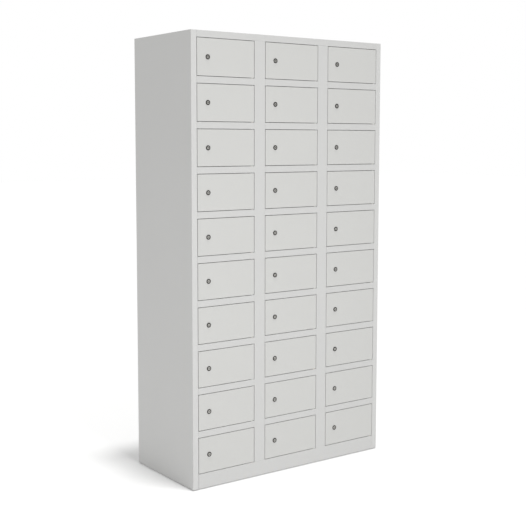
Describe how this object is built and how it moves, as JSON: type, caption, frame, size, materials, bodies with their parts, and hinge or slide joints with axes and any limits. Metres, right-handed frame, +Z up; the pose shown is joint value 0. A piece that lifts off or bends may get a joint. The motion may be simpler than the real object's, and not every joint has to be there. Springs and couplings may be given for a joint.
{
  "type": "parcel locker",
  "caption": "Free-standing steel parcel locker with columns of small flush doors on concealed pin hinges, each with a round cam lock, over shelved compartments.",
  "frame": {"origin": "on the floor, midway across the width and midway between the lock faces and the back", "axes": "+X to the right seen from the front, +Y to the back (the doors face -Y), +Z up"},
  "size_m": [1, 0.452, 1.85],
  "materials": {
    "powder_coat": "light grey powder coat, fine orange peel, satin",
    "door_coat": "light grey powder coat, fine orange peel, satin",
    "lock_metal": "nickel plated zinc",
    "buffer_rubber": "matt black rubber",
    "washer_plastic": "natural nylon",
    "glide_plastic": "black moulded plastic"
  },
  "bodies": {
    "cabinet": {"side_panel_left": "powder_coat", "side_panel_right": "powder_coat", "top_panel": "powder_coat", "back_panel": "powder_coat", "wall_fixing_plates": "powder_coat", "plinth_front": "powder_coat", "base_panel": "powder_coat", "mullion_left": "powder_coat", "mullion_right": "powder_coat", "partition_left": "powder_coat", "partition_right": "powder_coat", "shelves_left": "powder_coat", "shelves_middle": "powder_coat", "shelves_right": "powder_coat", "foot_brackets": "powder_coat", "glide_feet": "glide_plastic", "door_stops": "powder_coat", "door_buffers": "buffer_rubber", "hinge_washers": "washer_plastic"},
    "door_c1_r01": {"door_c1_r01": "door_coat"},
    "door_c1_r02": {"door_c1_r02": "door_coat"},
    "door_c1_r03": {"door_c1_r03": "door_coat"},
    "door_c1_r04": {"door_c1_r04": "door_coat"},
    "door_c1_r05": {"door_c1_r05": "door_coat"},
    "door_c1_r06": {"door_c1_r06": "door_coat"},
    "door_c1_r07": {"door_c1_r07": "door_coat"},
    "door_c1_r08": {"door_c1_r08": "door_coat"},
    "door_c1_r09": {"door_c1_r09": "door_coat"},
    "door_c1_r10": {"door_c1_r10": "door_coat"},
    "door_c2_r01": {"door_c2_r01": "door_coat"},
    "door_c2_r02": {"door_c2_r02": "door_coat"},
    "door_c2_r03": {"door_c2_r03": "door_coat"},
    "door_c2_r04": {"door_c2_r04": "door_coat"},
    "door_c2_r05": {"door_c2_r05": "door_coat"},
    "door_c2_r06": {"door_c2_r06": "door_coat"},
    "door_c2_r07": {"door_c2_r07": "door_coat"},
    "door_c2_r08": {"door_c2_r08": "door_coat"},
    "door_c2_r09": {"door_c2_r09": "door_coat"},
    "door_c2_r10": {"door_c2_r10": "door_coat"},
    "door_c3_r01": {"door_c3_r01": "door_coat"},
    "door_c3_r02": {"door_c3_r02": "door_coat"},
    "door_c3_r03": {"door_c3_r03": "door_coat"},
    "door_c3_r04": {"door_c3_r04": "door_coat"},
    "door_c3_r05": {"door_c3_r05": "door_coat"},
    "door_c3_r06": {"door_c3_r06": "door_coat"},
    "door_c3_r07": {"door_c3_r07": "door_coat"},
    "door_c3_r08": {"door_c3_r08": "door_coat"},
    "door_c3_r09": {"door_c3_r09": "door_coat"},
    "door_c3_r10": {"door_c3_r10": "door_coat"},
    "lock_c1_r01": {"lock_c1_r01": "lock_metal"},
    "lock_c1_r02": {"lock_c1_r02": "lock_metal"},
    "lock_c1_r03": {"lock_c1_r03": "lock_metal"},
    "lock_c1_r04": {"lock_c1_r04": "lock_metal"},
    "lock_c1_r05": {"lock_c1_r05": "lock_metal"},
    "lock_c1_r06": {"lock_c1_r06": "lock_metal"},
    "lock_c1_r07": {"lock_c1_r07": "lock_metal"},
    "lock_c1_r08": {"lock_c1_r08": "lock_metal"},
    "lock_c1_r09": {"lock_c1_r09": "lock_metal"},
    "lock_c1_r10": {"lock_c1_r10": "lock_metal"}
  },
  "joints": [
    {"name": "door_c1_r01_hinge", "type": "hinge", "parent": "cabinet", "child": "door_c1_r01", "pos_m": [-0.205, -0.219, 1.74725], "axis": [0, 0, 1], "range_deg": [0, 110]},
    {"name": "door_c1_r02_hinge", "type": "hinge", "parent": "cabinet", "child": "door_c1_r02", "pos_m": [-0.205, -0.219, 1.56875], "axis": [0, 0, 1], "range_deg": [0, 110]},
    {"name": "door_c1_r03_hinge", "type": "hinge", "parent": "cabinet", "child": "door_c1_r03", "pos_m": [-0.205, -0.219, 1.39025], "axis": [0, 0, 1], "range_deg": [0, 110]},
    {"name": "door_c1_r04_hinge", "type": "hinge", "parent": "cabinet", "child": "door_c1_r04", "pos_m": [-0.205, -0.219, 1.21175], "axis": [0, 0, 1], "range_deg": [0, 110]},
    {"name": "door_c1_r05_hinge", "type": "hinge", "parent": "cabinet", "child": "door_c1_r05", "pos_m": [-0.205, -0.219, 1.03325], "axis": [0, 0, 1], "range_deg": [0, 110]},
    {"name": "door_c1_r06_hinge", "type": "hinge", "parent": "cabinet", "child": "door_c1_r06", "pos_m": [-0.205, -0.219, 0.85475], "axis": [0, 0, 1], "range_deg": [0, 110]},
    {"name": "door_c1_r07_hinge", "type": "hinge", "parent": "cabinet", "child": "door_c1_r07", "pos_m": [-0.205, -0.219, 0.67625], "axis": [0, 0, 1], "range_deg": [0, 110]},
    {"name": "door_c1_r08_hinge", "type": "hinge", "parent": "cabinet", "child": "door_c1_r08", "pos_m": [-0.205, -0.219, 0.49775], "axis": [0, 0, 1], "range_deg": [0, 110]},
    {"name": "door_c1_r09_hinge", "type": "hinge", "parent": "cabinet", "child": "door_c1_r09", "pos_m": [-0.205, -0.219, 0.31925], "axis": [0, 0, 1], "range_deg": [0, 110]},
    {"name": "door_c1_r10_hinge", "type": "hinge", "parent": "cabinet", "child": "door_c1_r10", "pos_m": [-0.205, -0.219, 0.14075], "axis": [0, 0, 1], "range_deg": [0, 110]},
    {"name": "door_c2_r01_hinge", "type": "hinge", "parent": "cabinet", "child": "door_c2_r01", "pos_m": [0.129, -0.219, 1.74725], "axis": [0, 0, 1], "range_deg": [0, 110]},
    {"name": "door_c2_r02_hinge", "type": "hinge", "parent": "cabinet", "child": "door_c2_r02", "pos_m": [0.129, -0.219, 1.56875], "axis": [0, 0, 1], "range_deg": [0, 110]},
    {"name": "door_c2_r03_hinge", "type": "hinge", "parent": "cabinet", "child": "door_c2_r03", "pos_m": [0.129, -0.219, 1.39025], "axis": [0, 0, 1], "range_deg": [0, 110]},
    {"name": "door_c2_r04_hinge", "type": "hinge", "parent": "cabinet", "child": "door_c2_r04", "pos_m": [0.129, -0.219, 1.21175], "axis": [0, 0, 1], "range_deg": [0, 110]},
    {"name": "door_c2_r05_hinge", "type": "hinge", "parent": "cabinet", "child": "door_c2_r05", "pos_m": [0.129, -0.219, 1.03325], "axis": [0, 0, 1], "range_deg": [0, 110]},
    {"name": "door_c2_r06_hinge", "type": "hinge", "parent": "cabinet", "child": "door_c2_r06", "pos_m": [0.129, -0.219, 0.85475], "axis": [0, 0, 1], "range_deg": [0, 110]},
    {"name": "door_c2_r07_hinge", "type": "hinge", "parent": "cabinet", "child": "door_c2_r07", "pos_m": [0.129, -0.219, 0.67625], "axis": [0, 0, 1], "range_deg": [0, 110]},
    {"name": "door_c2_r08_hinge", "type": "hinge", "parent": "cabinet", "child": "door_c2_r08", "pos_m": [0.129, -0.219, 0.49775], "axis": [0, 0, 1], "range_deg": [0, 110]},
    {"name": "door_c2_r09_hinge", "type": "hinge", "parent": "cabinet", "child": "door_c2_r09", "pos_m": [0.129, -0.219, 0.31925], "axis": [0, 0, 1], "range_deg": [0, 110]},
    {"name": "door_c2_r10_hinge", "type": "hinge", "parent": "cabinet", "child": "door_c2_r10", "pos_m": [0.129, -0.219, 0.14075], "axis": [0, 0, 1], "range_deg": [0, 110]},
    {"name": "door_c3_r01_hinge", "type": "hinge", "parent": "cabinet", "child": "door_c3_r01", "pos_m": [0.463, -0.219, 1.74725], "axis": [0, 0, 1], "range_deg": [0, 110]},
    {"name": "door_c3_r02_hinge", "type": "hinge", "parent": "cabinet", "child": "door_c3_r02", "pos_m": [0.463, -0.219, 1.56875], "axis": [0, 0, 1], "range_deg": [0, 110]},
    {"name": "door_c3_r03_hinge", "type": "hinge", "parent": "cabinet", "child": "door_c3_r03", "pos_m": [0.463, -0.219, 1.39025], "axis": [0, 0, 1], "range_deg": [0, 110]},
    {"name": "door_c3_r04_hinge", "type": "hinge", "parent": "cabinet", "child": "door_c3_r04", "pos_m": [0.463, -0.219, 1.21175], "axis": [0, 0, 1], "range_deg": [0, 110]},
    {"name": "door_c3_r05_hinge", "type": "hinge", "parent": "cabinet", "child": "door_c3_r05", "pos_m": [0.463, -0.219, 1.03325], "axis": [0, 0, 1], "range_deg": [0, 110]},
    {"name": "door_c3_r06_hinge", "type": "hinge", "parent": "cabinet", "child": "door_c3_r06", "pos_m": [0.463, -0.219, 0.85475], "axis": [0, 0, 1], "range_deg": [0, 110]},
    {"name": "door_c3_r07_hinge", "type": "hinge", "parent": "cabinet", "child": "door_c3_r07", "pos_m": [0.463, -0.219, 0.67625], "axis": [0, 0, 1], "range_deg": [0, 110]},
    {"name": "door_c3_r08_hinge", "type": "hinge", "parent": "cabinet", "child": "door_c3_r08", "pos_m": [0.463, -0.219, 0.49775], "axis": [0, 0, 1], "range_deg": [0, 110]},
    {"name": "door_c3_r09_hinge", "type": "hinge", "parent": "cabinet", "child": "door_c3_r09", "pos_m": [0.463, -0.219, 0.31925], "axis": [0, 0, 1], "range_deg": [0, 110]},
    {"name": "door_c3_r10_hinge", "type": "hinge", "parent": "cabinet", "child": "door_c3_r10", "pos_m": [0.463, -0.219, 0.14075], "axis": [0, 0, 1], "range_deg": [0, 110]},
    {"name": "lock_c1_r01_cam", "type": "hinge", "parent": "door_c1_r01", "child": "lock_c1_r01", "pos_m": [-0.422, -0.224, 1.74725], "axis": [0, 1, 0], "range_deg": [0, 90]},
    {"name": "lock_c1_r02_cam", "type": "hinge", "parent": "door_c1_r02", "child": "lock_c1_r02", "pos_m": [-0.422, -0.224, 1.56875], "axis": [0, 1, 0], "range_deg": [0, 90]},
    {"name": "lock_c1_r03_cam", "type": "hinge", "parent": "door_c1_r03", "child": "lock_c1_r03", "pos_m": [-0.422, -0.224, 1.39025], "axis": [0, 1, 0], "range_deg": [0, 90]},
    {"name": "lock_c1_r04_cam", "type": "hinge", "parent": "door_c1_r04", "child": "lock_c1_r04", "pos_m": [-0.422, -0.224, 1.21175], "axis": [0, 1, 0], "range_deg": [0, 90]},
    {"name": "lock_c1_r05_cam", "type": "hinge", "parent": "door_c1_r05", "child": "lock_c1_r05", "pos_m": [-0.422, -0.224, 1.03325], "axis": [0, 1, 0], "range_deg": [0, 90]},
    {"name": "lock_c1_r06_cam", "type": "hinge", "parent": "door_c1_r06", "child": "lock_c1_r06", "pos_m": [-0.422, -0.224, 0.85475], "axis": [0, 1, 0], "range_deg": [0, 90]},
    {"name": "lock_c1_r07_cam", "type": "hinge", "parent": "door_c1_r07", "child": "lock_c1_r07", "pos_m": [-0.422, -0.224, 0.67625], "axis": [0, 1, 0], "range_deg": [0, 90]},
    {"name": "lock_c1_r08_cam", "type": "hinge", "parent": "door_c1_r08", "child": "lock_c1_r08", "pos_m": [-0.422, -0.224, 0.49775], "axis": [0, 1, 0], "range_deg": [0, 90]},
    {"name": "lock_c1_r09_cam", "type": "hinge", "parent": "door_c1_r09", "child": "lock_c1_r09", "pos_m": [-0.422, -0.224, 0.31925], "axis": [0, 1, 0], "range_deg": [0, 90]},
    {"name": "lock_c1_r10_cam", "type": "hinge", "parent": "door_c1_r10", "child": "lock_c1_r10", "pos_m": [-0.422, -0.224, 0.14075], "axis": [0, 1, 0], "range_deg": [0, 90]}
  ]
}
